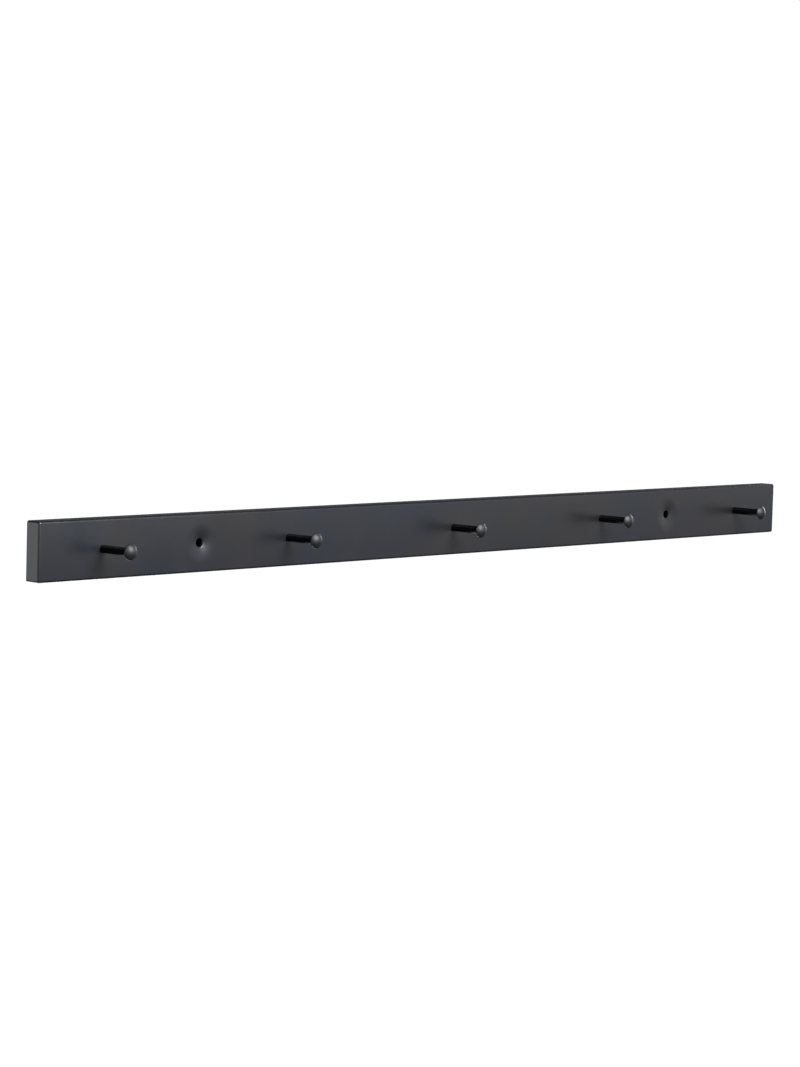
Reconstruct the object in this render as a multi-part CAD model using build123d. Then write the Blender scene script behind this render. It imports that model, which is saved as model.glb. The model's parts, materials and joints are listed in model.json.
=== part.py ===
"""Wall coat rack: a shallow rail folded from sheet steel, with a row of turned pegs.

Millimetres. X runs along the rail, Y points into the wall and Z points up. The origin is
the middle of the wall plane, which the rail's open back stands on.
"""
import os
from math import radians, sqrt, tan

from build123d import *

# Rail: a tray folded from one sheet, its corners welded and ground round
RAIL_LENGTH = 800.0
RAIL_HEIGHT = 40.0
RAIL_DEPTH = 12.0
SHEET_THICKNESS = 1.2
INSIDE_BEND_RADIUS = 0.4

# Wall-screw holes, each at the bottom of a dimple pressed into the face
SCREW_HOLE_DIAMETER = 6.5
SCREW_HOLE_END_MARGIN = 143.5
DIMPLE_DIAMETER = 28.0
DIMPLE_DEPTH = 1.7

# Distance sleeves welded behind the dimples, which keep a tight wall screw from pulling the face in
SLEEVE_WALL = 1.5

# Pegs: each turned in one piece, with a mushroom head and an M4 stud behind its shoulder
PEG_COUNT = 5
PEG_END_MARGIN = 55.0
PEG_REACH = 30.0
HEAD_DIAMETER = 11.0
HEAD_HEIGHT = 3.5
HEAD_RIM_HEIGHT = 0.7
STUD_DIAMETER = 4.0
SHOULDER_WIDTH = 0.75
STUD_BEYOND_NUT = 1.3
STUD_END_CHAMFER = 0.4

# Washers and nuts that clamp the pegs from inside the rail
WASHER_DIAMETER = 9.0
WASHER_THICKNESS = 0.8
NUT_ACROSS_FLATS = 7.0
NUT_FACE_DIAMETER = 6.6
NUT_HEIGHT = 3.2
NUT_CHAMFER_ANGLE = 30.0

# Clearances on the diameter
STUD_CLEARANCE = 0.3
THREAD_CLEARANCE = 0.1

# Planes along Y, from the front to the wall
peg_tip = -RAIL_DEPTH - PEG_REACH
head_underside = peg_tip + HEAD_HEIGHT
head_rim = head_underside - HEAD_RIM_HEIGHT
rail_face = -RAIL_DEPTH
sheet_back = rail_face + SHEET_THICKNESS
washer_back = sheet_back + WASHER_THICKNESS
nut_back = washer_back + NUT_HEIGHT
stud_end = nut_back + STUD_BEYOND_NUT

# Section of a dimple: the front is an arc tangent to the face, and the back keeps the sheet's thickness
dimple_run = (DIMPLE_DIAMETER - SCREW_HOLE_DIAMETER) / 2
press_radius = (dimple_run**2 + DIMPLE_DEPTH**2) / (2 * DIMPLE_DEPTH)
dimple_front = rail_face + DIMPLE_DEPTH
dimple_back = rail_face + press_radius - sqrt((press_radius - SHEET_THICKNESS) ** 2 - dimple_run**2)

# Places along X
first_peg = -RAIL_LENGTH / 2 + PEG_END_MARGIN
peg_spacing = -2 * first_peg / (PEG_COUNT - 1)
peg_places = [first_peg + number * peg_spacing for number in range(PEG_COUNT)]
left_screw_hole = -RAIL_LENGTH / 2 + SCREW_HOLE_END_MARGIN
screw_hole_places = [left_screw_hole, -left_screw_hole]

# Hole that a stud passes through, in the rail and in a washer
stud_hole_radius = (STUD_DIAMETER + STUD_CLEARANCE) / 2


def drill(x, radius, start, end):
    """Round cutter along Y at this place along the rail."""
    return extrude(Plane(origin=(x, start, 0), z_dir=(0, 1, 0)) * Circle(radius), end - start)


def tray_block(front, inset):
    """Sharp block from the plane front to the wall, set in from the rail's outside."""
    return Pos(0, front / 2, 0) * Box(RAIL_LENGTH - 2 * inset, -front, RAIL_HEIGHT - 2 * inset)


def make_dimple(x):
    """Ring of sheet that curves from the flat face in to the screw hole, at full thickness."""
    rim = DIMPLE_DIAMETER / 2
    hole = SCREW_HOLE_DIAMETER / 2
    inwards = (-1, 0)
    front = TangentArc((rim, rail_face), (hole, dimple_front), tangent=inwards)
    back = TangentArc((rim, sheet_back), (hole, dimple_back), tangent=inwards)
    section = make_face([front, back, Line(front @ 0, back @ 0), Line(front @ 1, back @ 1)])
    return Pos(x, 0, 0) * revolve(section, Axis.Y)


def make_rail():
    """Folded tray with its screw dimples and the holes for the peg studs."""
    outside = tray_block(rail_face, 0)
    wall_edges = outside.faces().sort_by(Axis.Y)[-1].edges()
    outside = fillet(outside.edges() - wall_edges, INSIDE_BEND_RADIUS + SHEET_THICKNESS)
    inside = tray_block(sheet_back, SHEET_THICKNESS)
    inside = fillet(inside.faces().sort_by(Axis.Y)[0].edges(), INSIDE_BEND_RADIUS)
    rail = outside - inside
    for x in peg_places:
        rail -= drill(x, stud_hole_radius, rail_face, sheet_back)
    for x in screw_hole_places:
        rail -= drill(x, DIMPLE_DIAMETER / 2, rail_face, sheet_back)
        rail += make_dimple(x)
    return rail


def make_sleeve(x):
    """Tube around a wall screw, from the back of the dimple to the wall."""
    hole = SCREW_HOLE_DIAMETER / 2
    return drill(x, hole + SLEEVE_WALL, dimple_back, 0) - drill(x, hole, dimple_back, 0)


def make_peg(x):
    """Peg turned about its own axis: stud, shoulder, shank and domed head."""
    stud = STUD_DIAMETER / 2
    shank = stud + SHOULDER_WIDTH
    head = HEAD_DIAMETER / 2
    turned = Polyline(
        (0, peg_tip),
        (0, stud_end),
        (stud - STUD_END_CHAMFER, stud_end),
        (stud, stud_end - STUD_END_CHAMFER),
        (stud, rail_face),
        (shank, rail_face),
        (shank, head_underside),
        (head, head_underside),
        (head, head_rim),
    )
    dome = TangentArc((0, peg_tip), (head, head_rim), tangent=(1, 0))
    return Pos(x, 0, 0) * revolve(make_face([turned, dome]), Axis.Y)


def make_washer(x):
    """Flat washer against the back of the sheet."""
    disc = drill(x, WASHER_DIAMETER / 2, sheet_back, washer_back)
    return disc - drill(x, stud_hole_radius, sheet_back, washer_back)


def make_nut(x):
    """Hexagon nut against the washer, with the corners of both faces turned off."""
    flat = NUT_ACROSS_FLATS / 2
    corner = NUT_ACROSS_FLATS / sqrt(3)
    chamfer = (corner - NUT_FACE_DIAMETER / 2) * tan(radians(NUT_CHAMFER_ANGLE))
    seat = Plane(origin=(x, washer_back, 0), z_dir=(0, 1, 0))
    hexagon = extrude(seat * RegularPolygon(flat, 6, major_radius=False), NUT_HEIGHT)
    turned = make_face(
        Polyline(
            (0, washer_back),
            (NUT_FACE_DIAMETER / 2, washer_back),
            (corner, washer_back + chamfer),
            (corner, nut_back - chamfer),
            (NUT_FACE_DIAMETER / 2, nut_back),
            (0, nut_back),
            close=True,
        )
    )
    nut = hexagon & Pos(x, 0, 0) * revolve(turned, Axis.Y)
    return nut - drill(x, (STUD_DIAMETER + THREAD_CLEARANCE) / 2, washer_back, nut_back)


os.makedirs("parts", exist_ok=True)
export_step(make_rail(), "parts/rail.step")
export_step(Compound([make_sleeve(place) for place in screw_hole_places]), "parts/screw_sleeves.step")
export_step(Compound([make_peg(place) for place in peg_places]), "parts/pegs.step")
export_step(Compound([make_washer(place) for place in peg_places]), "parts/peg_washers.step")
export_step(Compound([make_nut(place) for place in peg_places]), "parts/peg_nuts.step")
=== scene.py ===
"""Wall coat rack in metres. X runs along the rail, Y points into the wall and Z points up."""
import json
import math

import bpy
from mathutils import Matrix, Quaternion, Vector


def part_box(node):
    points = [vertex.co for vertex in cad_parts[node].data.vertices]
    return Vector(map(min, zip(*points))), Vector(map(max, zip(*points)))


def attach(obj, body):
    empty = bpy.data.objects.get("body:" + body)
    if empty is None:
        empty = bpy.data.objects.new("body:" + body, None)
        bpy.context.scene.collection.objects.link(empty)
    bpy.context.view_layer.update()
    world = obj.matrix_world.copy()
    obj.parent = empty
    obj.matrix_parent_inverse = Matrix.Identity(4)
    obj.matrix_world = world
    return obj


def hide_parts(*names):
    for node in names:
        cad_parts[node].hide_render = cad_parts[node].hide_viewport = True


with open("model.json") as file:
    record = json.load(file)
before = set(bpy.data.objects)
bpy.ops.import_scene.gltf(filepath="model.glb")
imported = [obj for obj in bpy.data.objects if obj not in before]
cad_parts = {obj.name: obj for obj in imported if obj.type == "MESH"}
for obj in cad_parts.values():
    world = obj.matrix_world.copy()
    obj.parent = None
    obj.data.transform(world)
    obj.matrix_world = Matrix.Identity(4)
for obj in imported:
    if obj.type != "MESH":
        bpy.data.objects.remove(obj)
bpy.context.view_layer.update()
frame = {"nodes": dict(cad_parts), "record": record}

# Rail
# One sheet of steel folded into a shallow tray, welded and ground at its corners, then sprayed satin black.
# It stands with its open back on the wall and hangs on two wall screws, whose dimpled holes are empty here.
MM = 0.001
COOL_BLACK = (0.0048, 0.0058, 0.0085, 1.0)
WARM_BLACK = (0.0078, 0.0066, 0.0076, 1.0)
LACQUER_IOR = 1.5
RAIL_ROUGHNESS = 0.33
RAIL_CLOUD_SIZE = 90.0 * MM
CLOUD_NOISE_RANGE = (0.38, 0.62)
GLOSS_NOISE_RANGE = (0.3, 0.7)
GLOSS_CHANGE = 0.04
GLOSS_PATCHES_PER_METRE = 34.0
PEEL_PER_METRE = 750.0
PEEL_HEIGHT = 0.004 * MM
WAVES_PER_METRE = 12.0
WAVE_HEIGHT = 0.25 * MM
FACE_CROWN = 0.45 * MM
DIMPLE_RADIUS = 14.0 * MM
DIMPLE_DEPTH = 1.7 * MM
SHEET_LIKENESS = 0.5
rail_low, rail_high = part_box("rail")
wall_screws = next(mount for mount in frame["record"]["mounts"] if mount["kind"] == "bolt_pattern")
hole_place = wall_screws["dims"]["spacing_x_mm"] * MM / 2
hole_radius = wall_screws["dims"]["hole_r_mm"] * MM
dimple_run = DIMPLE_RADIUS - hole_radius
press_radius = (dimple_run**2 + DIMPLE_DEPTH**2) / (2 * DIMPLE_DEPTH)


def add_node(tree, kind, inputs=None, **settings):
    """New node with its settings. An input takes a plain value, or a socket to link to."""
    node = tree.nodes.new(kind)
    for name, value in settings.items():
        setattr(node, name, value)
    for name, value in (inputs or {}).items():
        if isinstance(value, bpy.types.NodeSocket):
            tree.links.new(value, node.inputs[name])
        else:
            node.inputs[name].default_value = value
    return node


def calculate(tree, operation, *values):
    """Socket with the result of one sum on plain values and sockets."""
    return add_node(tree, "ShaderNodeMath", dict(enumerate(values)), operation=operation).outputs[0]


def place_on_piece(tree):
    """Socket with the shaded point's place in the rack's own frame."""
    return add_node(tree, "ShaderNodeTexCoord").outputs["Object"]


def noise(tree, per_metre, detail, roughness=0.5):
    """Socket with a cloudy noise, with so many clouds to the metre."""
    inputs = {"Vector": place_on_piece(tree), "Scale": per_metre, "Detail": detail, "Roughness": roughness}
    return add_node(tree, "ShaderNodeTexNoise", inputs).outputs["Fac"]


def spread(tree, value, between, levels, kind="LINEAR"):
    """Socket that goes from one level to the other while the value goes between its two ends."""
    inputs = {"Value": value}
    inputs.update(zip(("From Min", "From Max"), between))
    inputs.update(zip(("To Min", "To Max"), levels))
    return add_node(tree, "ShaderNodeMapRange", inputs, interpolation_type=kind).outputs["Result"]


def new_group(name, inputs, outputs):
    """Empty shader group with these sockets, its input node and its output node."""
    group = bpy.data.node_groups.new(name, "ShaderNodeTree")
    for socket, kind in inputs.items():
        group.interface.new_socket(socket, in_out="INPUT", socket_type=kind)
    for socket, kind in outputs.items():
        group.interface.new_socket(socket, in_out="OUTPUT", socket_type=kind)
    return group, group.nodes.new("NodeGroupInput"), group.nodes.new("NodeGroupOutput")


def new_material(name):
    """Material with nothing but a Principled BSDF wired to its output."""
    material = bpy.data.materials.new(name)
    material.use_nodes = True
    tree = material.node_tree
    tree.nodes.clear()
    shader = tree.nodes.new("ShaderNodeBsdfPrincipled")
    add_node(tree, "ShaderNodeOutputMaterial", {"Surface": shader.outputs["BSDF"]})
    return material, tree, shader


def finish_surface(tree, shader, colour, roughness, height, normal=None):
    """Wires a colour, a roughness and a height in metres into a material's shader."""
    bump = add_node(tree, "ShaderNodeBump", {"Height": height, "Distance": 1.0})
    if normal is not None:
        tree.links.new(normal, bump.inputs["Normal"])
    tree.links.new(colour, shader.inputs["Base Color"])
    tree.links.new(roughness, shader.inputs["Roughness"])
    tree.links.new(bump.outputs["Normal"], shader.inputs["Normal"])


def wear(piece, material):
    """Gives a piece this one material."""
    piece.data.materials.clear()
    piece.data.materials.append(material)


def make_lacquer_film():
    """Group for sprayed lacquer: cool and warm clouds, uneven gloss and the fine ripple of orange peel."""
    number = "NodeSocketFloat"
    colour = "NodeSocketColor"
    group, given, result = new_group(
        "lacquer_film",
        {"Cool Colour": colour, "Warm Colour": colour, "Cloud Size": number, "Roughness": number},
        {"Colour": colour, "Roughness": number, "Height": number},
    )
    clouds_per_metre = calculate(group, "DIVIDE", 1.0, given.outputs["Cloud Size"])
    clouds = noise(group, clouds_per_metre, detail=3.0, roughness=0.55)
    warmth = spread(group, clouds, CLOUD_NOISE_RANGE, (0.0, 1.0), "SMOOTHSTEP")
    clouded = add_node(
        group,
        "ShaderNodeMixRGB",
        {0: warmth, 1: given.outputs["Cool Colour"], 2: given.outputs["Warm Colour"]},
    )
    gloss = noise(group, GLOSS_PATCHES_PER_METRE, detail=4.0, roughness=0.6)
    gloss_change = spread(group, gloss, GLOSS_NOISE_RANGE, (-GLOSS_CHANGE, GLOSS_CHANGE))
    rough = calculate(group, "ADD", given.outputs["Roughness"], gloss_change)
    peel = calculate(group, "MULTIPLY", noise(group, PEEL_PER_METRE, detail=1.5), PEEL_HEIGHT)
    waves = noise(group, WAVES_PER_METRE, detail=1.0)
    height = calculate(group, "MULTIPLY_ADD", waves, WAVE_HEIGHT, peel)
    group.links.new(clouded.outputs["Color"], result.inputs["Colour"])
    group.links.new(rough, result.inputs["Roughness"])
    group.links.new(height, result.inputs["Height"])
    return group


def film_on(tree, cool, warm, cloud_size, roughness):
    """Places the lacquer film in a material with its own values."""
    film = add_node(tree, "ShaderNodeGroup", node_tree=lacquer_film)
    film.inputs["Cool Colour"].default_value = cool
    film.inputs["Warm Colour"].default_value = warm
    film.inputs["Cloud Size"].default_value = cloud_size
    film.inputs["Roughness"].default_value = roughness
    return film


def make_screw_hole_place():
    """Group for where a point lies from the axis of the nearer screw hole, square to that axis."""
    group, _, result = new_group(
        "screw_hole_place", {}, {"Outwards": "NodeSocketVector", "Distance": "NodeSocketFloat"}
    )
    place = add_node(group, "ShaderNodeSeparateXYZ", {0: place_on_piece(group)})
    side = calculate(group, "SIGN", place.outputs["X"])
    beside = calculate(group, "MULTIPLY_ADD", side, -hole_place, place.outputs["X"])
    outwards = add_node(group, "ShaderNodeCombineXYZ", {"X": beside, "Z": place.outputs["Z"]}).outputs[0]
    distance = add_node(group, "ShaderNodeVectorMath", {0: outwards}, operation="LENGTH").outputs["Value"]
    group.links.new(outwards, result.inputs["Outwards"])
    group.links.new(distance, result.inputs["Distance"])
    return group


def dimpled_normal(tree):
    """Normal of the rail, which follows the pressed arc evenly round each dimple, front and back."""
    hole = add_node(tree, "ShaderNodeGroup", node_tree=screw_hole_place)
    inside = calculate(tree, "SUBTRACT", DIMPLE_RADIUS, hole.outputs["Distance"])
    slope = calculate(tree, "DIVIDE", inside, -press_radius)
    radial = add_node(tree, "ShaderNodeVectorMath", {0: hole.outputs["Outwards"]}, operation="NORMALIZE")
    tilt = add_node(
        tree, "ShaderNodeVectorMath", {0: radial.outputs["Vector"], "Scale": slope}, operation="SCALE"
    )
    tilted = add_node(
        tree, "ShaderNodeVectorMath", {0: tilt.outputs["Vector"], 1: (0.0, -1.0, 0.0)}, operation="ADD"
    )
    pressed = add_node(
        tree,
        "ShaderNodeVectorTransform",
        {0: tilted.outputs["Vector"]},
        vector_type="NORMAL",
        convert_from="OBJECT",
        convert_to="WORLD",
    ).outputs[0]
    given = add_node(tree, "ShaderNodeNewGeometry").outputs["Normal"]
    likeness = add_node(
        tree, "ShaderNodeVectorMath", {0: given, 1: pressed}, operation="DOT_PRODUCT"
    ).outputs["Value"]
    side = calculate(tree, "SIGN", likeness)
    turned = add_node(tree, "ShaderNodeVectorMath", {0: pressed, "Scale": side}, operation="SCALE")
    on_sheet = calculate(tree, "GREATER_THAN", calculate(tree, "ABSOLUTE", likeness), SHEET_LIKENESS)
    in_rim = calculate(tree, "GREATER_THAN", inside, 0.0)
    in_dimple = calculate(tree, "MULTIPLY", on_sheet, in_rim)
    mixed = add_node(
        tree, "ShaderNodeMix", {0: in_dimple, 4: given, 5: turned.outputs["Vector"]}, data_type="VECTOR"
    )
    even = add_node(tree, "ShaderNodeVectorMath", {0: mixed.outputs[1]}, operation="NORMALIZE")
    return even.outputs["Vector"]


def make_rail_lacquer():
    """Lacquer of the rail, over a face that bows out very slightly between its bends."""
    material, tree, shader = new_material("rail_lacquer")
    film = film_on(tree, COOL_BLACK, WARM_BLACK, RAIL_CLOUD_SIZE, RAIL_ROUGHNESS)
    place = add_node(tree, "ShaderNodeSeparateXYZ", {0: place_on_piece(tree)})
    across = calculate(tree, "DIVIDE", place.outputs["Z"], rail_high[2])
    bow = calculate(tree, "POWER", across, 2.0)
    crowned = calculate(tree, "MULTIPLY_ADD", bow, -FACE_CROWN, film.outputs["Height"])
    finish_surface(
        tree, shader, film.outputs["Colour"], film.outputs["Roughness"], crowned, dimpled_normal(tree)
    )
    shader.inputs["IOR"].default_value = LACQUER_IOR
    return material


lacquer_film = make_lacquer_film()
screw_hole_place = make_screw_hole_place()
wear(frame["nodes"]["rail"], make_rail_lacquer())

# Screw sleeves
# Two short steel tubes welded behind the dimples. A wall screw passes through each, and its pull goes
# through the sleeve to the wall instead of bending the face. They were sprayed together with the rail.
# The far darker black inside their bores is painted shade, which keeps the screw holes black.
# The pegs' own black. In a sleeve's bore the same colours are painted shade, far darker than the lacquer.
DEEP_COOL_BLACK = (0.0012, 0.0016, 0.0022, 1.0)
DEEP_WARM_BLACK = (0.0020, 0.0017, 0.0016, 1.0)
SLEEVE_CLOUD_SIZE = 15.0 * MM
SLEEVE_OUTSIDE_ROUGHNESS = 0.6
SLEEVE_BORE_ROUGHNESS = 0.9
SLEEVE_COAT_ROUGHNESS = 0.5
sleeve_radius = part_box("screw_sleeves")[1][2]
middle_of_wall = (hole_radius + sleeve_radius) / 2


def make_sleeve_lacquer():
    """Lacquer that is satin on the outside of a sleeve, with painted shade in its bore: a dull, far darker
    black.
    """
    material, tree, shader = new_material("sleeve_lacquer")
    outside = film_on(tree, COOL_BLACK, WARM_BLACK, SLEEVE_CLOUD_SIZE, SLEEVE_OUTSIDE_ROUGHNESS)
    # Painted shade: the bore gets a far darker black than the lacquer, standing in for the shade deep in the
    # hole.
    bore = film_on(tree, DEEP_COOL_BLACK, DEEP_WARM_BLACK, SLEEVE_CLOUD_SIZE, SLEEVE_BORE_ROUGHNESS)
    hole = add_node(tree, "ShaderNodeGroup", node_tree=screw_hole_place)
    # Mask that keeps the painted shade to the bore and leaves the lacquer on the outside.
    on_outside = calculate(tree, "GREATER_THAN", hole.outputs["Distance"], middle_of_wall)
    colour = add_node(
        tree, "ShaderNodeMixRGB", {0: on_outside, 1: bore.outputs["Colour"], 2: outside.outputs["Colour"]}
    )
    finish_surface(
        tree, shader, colour.outputs["Color"], bore.outputs["Roughness"], outside.outputs["Height"]
    )
    tree.links.new(on_outside, shader.inputs["Coat Weight"])
    shader.inputs["Specular IOR Level"].default_value = 0.0
    shader.inputs["Coat Roughness"].default_value = SLEEVE_COAT_ROUGHNESS
    shader.inputs["Coat IOR"].default_value = LACQUER_IOR
    return material


wear(frame["nodes"]["screw_sleeves"], make_sleeve_lacquer())

# Pegs
# Five steel pegs turned on a lathe, each with a domed mushroom head, a plain shank and a threaded stud.
# The shoulder stands on the face of the rail, and the stud goes through it to a washer and a nut inside.
# They were sprayed from the front, so the heads carry a full film and the shanks a thin, dry one.
HEAD_RADIUS = 5.5 * MM
HEAD_HEIGHT = 3.5 * MM
HEAD_RIM_HEIGHT = 0.7 * MM
DOME_EDGE_ROUND = 0.55 * MM
RIM_EDGE_ROUND = 0.3 * MM
NECK_ROUND = 0.35 * MM
SHOULDER_ROUND = 0.15 * MM
STUD_RADIUS = 2.0 * MM
STUD_END_CHAMFER = 0.4 * MM
THREAD_PITCH = 0.7 * MM
THREAD_DEPTH = 0.4 * MM
THREAD_LENGTH = 4.5 * MM
THREAD_ROOT_SHARE = 0.25
THREAD_FLANK_SHARE = 0.6
ROWS_PER_TURN = 8
PEG_SIDES = 96
DOME_STEPS = 18
EDGE_STEPS = 6
NECK_STEPS = 5
SHOULDER_STEPS = 4
SHARP_ANGLE = math.radians(40)
PEG_CLOUD_SIZE = 9.0 * MM
SHANK_ROUGHNESS = 0.46
SHANK_GLOSS = 0.06
HEAD_COAT = 0.82
HEAD_ROUGHNESS = 0.54
SPRAY_FADE = 1.5 * MM
pegs_low, pegs_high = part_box("pegs")
peg_tip = pegs_low[1]
head_end = peg_tip + HEAD_HEIGHT
stud_end = pegs_high[1]
rail_face = rail_low[1]
hang_points = [mount for mount in frame["record"]["mounts"] if mount["name"].startswith("hang_point")]


def arc(across, along, radius, start, end, steps):
    """Points (distance from the axis, place along Y) of a round in a turned profile."""
    angles = [math.radians(start + (end - start) * step / steps) for step in range(steps + 1)]
    return [(across + radius * math.sin(angle), along - radius * math.cos(angle)) for angle in angles]


def peg_profile(shank_radius):
    """Outline from the tip of the dome to the foot of the stud."""
    dome_height = HEAD_HEIGHT - HEAD_RIM_HEIGHT
    dome_radius = (HEAD_RADIUS**2 + dome_height**2) / (2 * dome_height)
    dome_centre = peg_tip + dome_radius
    inner = HEAD_RADIUS - DOME_EDGE_ROUND
    reach = dome_radius - DOME_EDGE_ROUND
    edge_centre = dome_centre - math.sqrt(reach**2 - inner**2)
    dome_end = math.degrees(math.asin(inner / reach))
    rim = HEAD_RADIUS - RIM_EDGE_ROUND
    neck = shank_radius + NECK_ROUND
    shoulder = shank_radius - SHOULDER_ROUND
    profile = arc(0, dome_centre, dome_radius, 0, dome_end, DOME_STEPS)
    profile += arc(inner, edge_centre, DOME_EDGE_ROUND, dome_end, 90, EDGE_STEPS)[1:]
    profile += arc(rim, head_end - RIM_EDGE_ROUND, RIM_EDGE_ROUND, 90, 180, EDGE_STEPS)
    profile += arc(neck, head_end + NECK_ROUND, NECK_ROUND, 0, -90, NECK_STEPS)
    profile += arc(shoulder, rail_face - SHOULDER_ROUND, SHOULDER_ROUND, 90, 180, SHOULDER_STEPS)
    profile += [(STUD_RADIUS, rail_face), (STUD_RADIUS, stud_end - THREAD_LENGTH)]
    return profile


def thread_radius(along, turn):
    """Distance of the thread's surface from the axis, at a place along Y and a share of a turn."""
    phase = ((along - stud_end) / THREAD_PITCH - turn) % 1.0
    from_root = abs(2 * phase - 1)
    flank = (from_root - THREAD_ROOT_SHARE) / THREAD_FLANK_SHARE
    crest = STUD_RADIUS - max(0.0, along - stud_end + STUD_END_CHAMFER)
    cut = STUD_RADIUS - THREAD_DEPTH * (1 - min(1.0, max(0.0, flank)))
    return min(crest, cut)


def make_peg(name, x, shank_radius):
    """One turned peg, ring by ring from the tip of its dome to the end of its stud."""
    turns = [side / PEG_SIDES for side in range(PEG_SIDES)]
    rings = [[(radius, along) for turn in turns] for radius, along in peg_profile(shank_radius)[1:]]
    rows = round(THREAD_LENGTH / THREAD_PITCH * ROWS_PER_TURN)
    for row in range(1, rows + 1):
        along = stud_end - THREAD_LENGTH * (1 - row / rows)
        rings.append([(thread_radius(along, turn), along) for turn in turns])
    points = [(x, peg_tip, 0.0)]
    for ring in rings:
        for turn, (radius, along) in zip(turns, ring):
            angle = 2 * math.pi * turn
            points.append((x + radius * math.cos(angle), along, radius * math.sin(angle)))
    points.append((x, stud_end, 0.0))

    def corner(ring, side):
        return 1 + ring * PEG_SIDES + side % PEG_SIDES

    faces = [(0, corner(0, side), corner(0, side + 1)) for side in range(PEG_SIDES)]
    for ring in range(len(rings) - 1):
        for side in range(PEG_SIDES):
            faces.append(
                (
                    corner(ring, side),
                    corner(ring + 1, side),
                    corner(ring + 1, side + 1),
                    corner(ring, side + 1),
                )
            )
    last = len(rings) - 1
    faces += [(len(points) - 1, corner(last, side + 1), corner(last, side)) for side in range(PEG_SIDES)]
    mesh = bpy.data.meshes.new(name)
    mesh.from_pydata(points, [], faces)
    mesh.shade_smooth()
    mesh.set_sharp_from_angle(angle=SHARP_ANGLE)
    peg = bpy.data.objects.new(name, mesh)
    bpy.context.scene.collection.objects.link(peg)
    return peg


def make_peg_lacquer():
    """Deep black lacquer, satin on the head and dull on the shank behind it."""
    material, tree, shader = new_material("peg_lacquer")
    film = film_on(tree, DEEP_COOL_BLACK, DEEP_WARM_BLACK, PEG_CLOUD_SIZE, SHANK_ROUGHNESS)
    finish_surface(
        tree, shader, film.outputs["Colour"], film.outputs["Roughness"], film.outputs["Height"]
    )
    place = add_node(tree, "ShaderNodeSeparateXYZ", {0: place_on_piece(tree)})
    on_head = spread(
        tree, place.outputs["Y"], (head_end, head_end + SPRAY_FADE), (HEAD_COAT, 0.0), "SMOOTHSTEP"
    )
    tree.links.new(on_head, shader.inputs["Coat Weight"])
    shader.inputs["IOR"].default_value = LACQUER_IOR
    shader.inputs["Specular IOR Level"].default_value = SHANK_GLOSS
    shader.inputs["Coat Roughness"].default_value = HEAD_ROUGHNESS
    shader.inputs["Coat IOR"].default_value = LACQUER_IOR
    return material


peg_lacquer = make_peg_lacquer()
for number, mount in enumerate(hang_points, start=1):
    peg = make_peg(f"peg_{number}", mount["pos_m"][0], mount["dims"]["r_mm"] * MM)
    wear(peg, peg_lacquer)
    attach(peg, "root")
    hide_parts("pegs")

# Washers
# Five plain steel washers, punched from sheet and zinc plated. Each lies between a nut and the back of the
# rail's face, and spreads the pull of its peg over the sheet.
ZINC = (0.62, 0.63, 0.65, 1.0)
BLOTCHES_PER_METRE = 420.0
BLOTCH_NOISE_RANGE = (0.3, 0.7)
BLOTCH_LEVELS = (0.82, 1.05)
MARK_NOISE_RANGE = (0.35, 0.7)
MARK_DULLING = (-0.06, 0.1)
MARK_HEIGHT = 0.006 * MM
WASHER_ROUGHNESS = 0.36
WASHER_MARK_SIZE = 0.5 * MM


def make_zinc_plating():
    """Group for bright zinc plating: slightly blotchy colour and gloss over fine handling marks."""
    number = "NodeSocketFloat"
    colour = "NodeSocketColor"
    group, given, result = new_group(
        "zinc_plating",
        {"Colour": colour, "Roughness": number, "Mark Size": number},
        {"Colour": colour, "Roughness": number, "Height": number},
    )
    blotches = noise(group, BLOTCHES_PER_METRE, detail=3.0, roughness=0.6)
    tint = spread(group, blotches, BLOTCH_NOISE_RANGE, BLOTCH_LEVELS)
    toned = add_node(
        group, "ShaderNodeVectorMath", {0: given.outputs["Colour"], "Scale": tint}, operation="SCALE"
    )
    marks_per_metre = calculate(group, "DIVIDE", 1.0, given.outputs["Mark Size"])
    marks = noise(group, marks_per_metre, detail=2.0, roughness=0.7)
    dulling = spread(group, marks, MARK_NOISE_RANGE, MARK_DULLING)
    rough = calculate(group, "ADD", given.outputs["Roughness"], dulling)
    height = calculate(group, "MULTIPLY", marks, MARK_HEIGHT)
    group.links.new(toned.outputs["Vector"], result.inputs["Colour"])
    group.links.new(rough, result.inputs["Roughness"])
    group.links.new(height, result.inputs["Height"])
    return group


def make_zinc(name, roughness, mark_size):
    """Zinc-plated steel with its own gloss and size of marks."""
    material, tree, shader = new_material(name)
    plating = add_node(tree, "ShaderNodeGroup", node_tree=zinc_plating)
    plating.inputs["Colour"].default_value = ZINC
    plating.inputs["Roughness"].default_value = roughness
    plating.inputs["Mark Size"].default_value = mark_size
    finish_surface(
        tree, shader, plating.outputs["Colour"], plating.outputs["Roughness"], plating.outputs["Height"]
    )
    shader.inputs["Metallic"].default_value = 1.0
    return material


zinc_plating = make_zinc_plating()
wear(frame["nodes"]["peg_washers"], make_zinc("washer_zinc", WASHER_ROUGHNESS, WASHER_MARK_SIZE))

# Nuts
# Five M4 hexagon nuts of steel, cold formed, tapped and zinc plated. Each is screwed tight on the stud of a
# peg inside the rail, against its washer.
NUT_ROUGHNESS = 0.3
NUT_MARK_SIZE = 0.35 * MM
wear(frame["nodes"]["peg_nuts"], make_zinc("nut_zinc", NUT_ROUGHNESS, NUT_MARK_SIZE))

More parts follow.
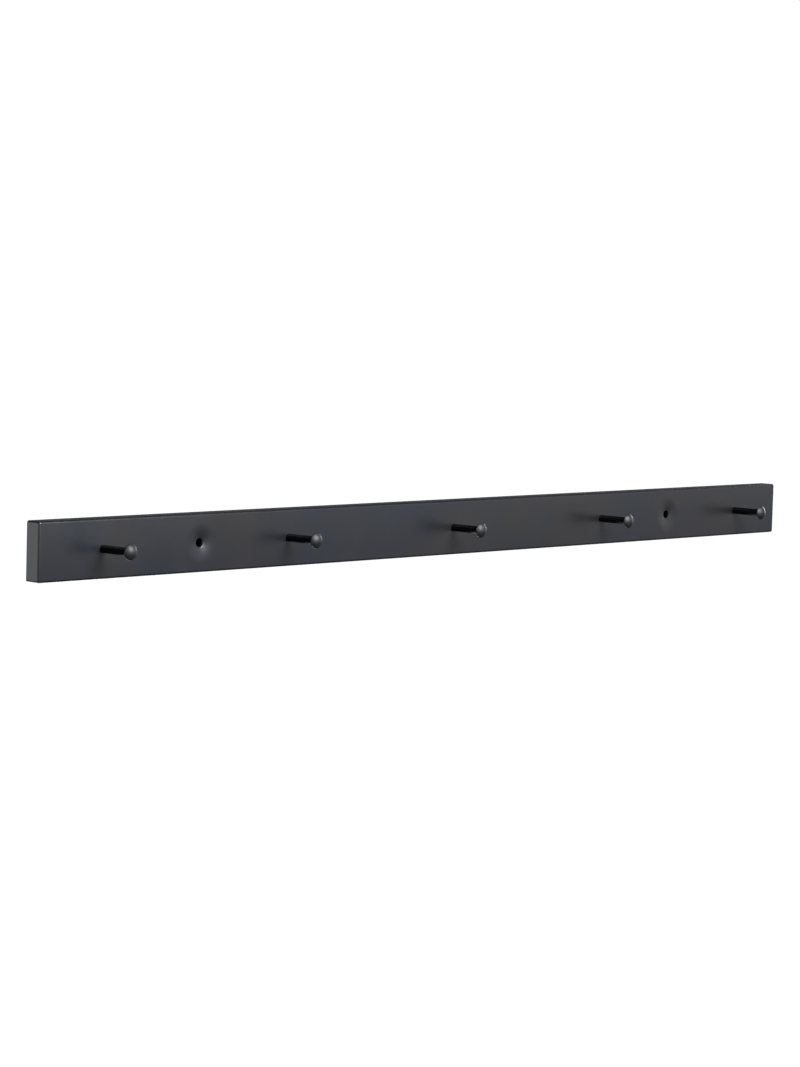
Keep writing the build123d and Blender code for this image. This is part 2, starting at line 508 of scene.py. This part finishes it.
# Floor
# Plain pale matt floor of the studio. It lies well below the rack, which hangs at the height of a coat, and
# glows enough to stay pale from any side.
FLOOR_COLOUR = (0.80, 0.80, 0.81, 1.0)
FLOOR_ROUGHNESS = 0.8
FLOOR_GLOW = 0.65
FLOOR_DROP = 1.7
FLOOR_RADIUS = 4.2
FLOOR_SIDES = 128
bpy.ops.mesh.primitive_circle_add(
    vertices=FLOOR_SIDES, radius=FLOOR_RADIUS, fill_type="NGON", location=(0.0, 0.0, -FLOOR_DROP)
)
floor = bpy.context.object
floor.name = "floor"
floor.visible_glossy = False
floor_finish, _, floor_shader = new_material("floor_finish")
floor_shader.inputs["Base Color"].default_value = FLOOR_COLOUR
floor_shader.inputs["Roughness"].default_value = FLOOR_ROUGHNESS
floor_shader.inputs["Emission Color"].default_value = FLOOR_COLOUR
floor_shader.inputs["Emission Strength"].default_value = FLOOR_GLOW
wear(floor, floor_finish)

# Light
# A pale studio, brightest to the left on the wall behind the rack, and dimmer overhead and towards the floor.
# A wide key light and a broader fill hang high in front. A smaller light stands past the right end, and a
# soft one low behind the rack shows the inside of the rail.
STUDIO_TINT = (0.98, 1.0, 1.02, 1.0)
SEEN_WHITE = 1.05
DAYLIGHT = (0.93, 1.0, 1.08)
WHITE_LIGHT = (1.0, 1.0, 1.0)


def fade(tree, towards, between, levels):
    """Socket with a level of light that changes smoothly with one part of the direction."""
    return spread(tree, towards, between, levels, "SMOOTHSTEP")


def make_studio():
    """World whose light comes from the wall and the room, while the camera sees plain white."""
    world = bpy.data.worlds.new("studio")
    world.use_nodes = True
    tree = world.node_tree
    tree.nodes.clear()
    direction = add_node(tree, "ShaderNodeTexCoord").outputs["Generated"]
    towards = add_node(tree, "ShaderNodeSeparateXYZ", {0: direction}).outputs
    wall_height = fade(tree, towards["Z"], between=(-0.5, -0.1), levels=(0.2, 1.0))
    wall_side = fade(tree, towards["X"], between=(-0.5, 0.6), levels=(1.85, 0.2))
    wall = calculate(tree, "MULTIPLY", wall_height, wall_side)
    room_height = fade(tree, towards["Z"], between=(-0.42, 0.2), levels=(0.12, 0.97))
    room_side = fade(tree, towards["X"], between=(-0.6, 0.2), levels=(1.2, 1.0))
    room = calculate(tree, "MULTIPLY", room_height, room_side)
    on_wall = fade(tree, towards["Y"], between=(-0.1, 0.35), levels=(0.0, 1.0))
    around = add_node(tree, "ShaderNodeMix", {0: on_wall, 2: room, 3: wall}).outputs[0]
    overhead = fade(tree, towards["Z"], between=(0.2, 0.5), levels=(1.0, 0.06))
    level = calculate(tree, "MULTIPLY", around, overhead)
    seen = add_node(tree, "ShaderNodeLightPath").outputs["Is Camera Ray"]
    shown = add_node(tree, "ShaderNodeMix", {0: seen, 2: level, 3: SEEN_WHITE}).outputs[0]
    sky = add_node(tree, "ShaderNodeBackground", {"Color": STUDIO_TINT, "Strength": shown})
    add_node(tree, "ShaderNodeOutputWorld", {"Surface": sky.outputs["Background"]})
    return world


def soft_light(name, direction, distance, size, radiance, colour):
    """Square area light that faces the rack from this direction."""
    light = bpy.data.lights.new(name, "AREA")
    light.color = colour
    light.shape = "SQUARE"
    light.size = size
    light.energy = radiance * math.pi * size**2
    lamp = bpy.data.objects.new(name, light)
    lamp.location = Vector(direction).normalized() * distance
    lamp.rotation_euler = (-lamp.location).to_track_quat("-Z", "Y").to_euler()
    lamp.visible_camera = False
    bpy.context.scene.collection.objects.link(lamp)


bpy.context.scene.world = make_studio()
soft_light(
    "key_light", direction=(-0.1, -1.25, 0.72), distance=1.44, size=0.75, radiance=29.0, colour=DAYLIGHT
)
soft_light(
    "fill_light", direction=(0.0, -0.75, 0.66), distance=2.2, size=1.4, radiance=4.5, colour=WHITE_LIGHT
)
soft_light(
    "back_light", direction=(0.97, 0.1, 0.15), distance=1.6, size=0.6, radiance=6.0, colour=WHITE_LIGHT
)
soft_light(
    "rear_light", direction=(0.3, 0.85, -0.45), distance=1.8, size=1.2, radiance=5.0, colour=WHITE_LIGHT
)

# Camera
# It stands a little above the rack and well off to its left, as in the photograph, and has a long lens.
# It is turned very slightly about its own view.
AIM = Vector((-0.0582, -0.012, -0.002))
AZIMUTH = math.radians(-47.45)
ELEVATION = math.radians(4.82)
ROLL = math.radians(1.69)
DISTANCE = 2.2278
LENS = 104.04
SENSOR_WIDTH = 36.0
camera_data = bpy.data.cameras.new("camera")
camera_data.lens = LENS
camera_data.sensor_width = SENSOR_WIDTH
camera = bpy.data.objects.new("camera", camera_data)
view = Vector(
    (
        -math.sin(AZIMUTH) * math.cos(ELEVATION),
        math.cos(AZIMUTH) * math.cos(ELEVATION),
        -math.sin(ELEVATION),
    )
)
camera.location = AIM - DISTANCE * view
camera.rotation_mode = "QUATERNION"
camera.rotation_quaternion = view.to_track_quat("-Z", "Y") @ Quaternion((0.0, 0.0, 1.0), ROLL)
bpy.context.scene.collection.objects.link(camera)
bpy.context.scene.camera = camera
bpy.context.scene.view_settings.view_transform = "Standard"
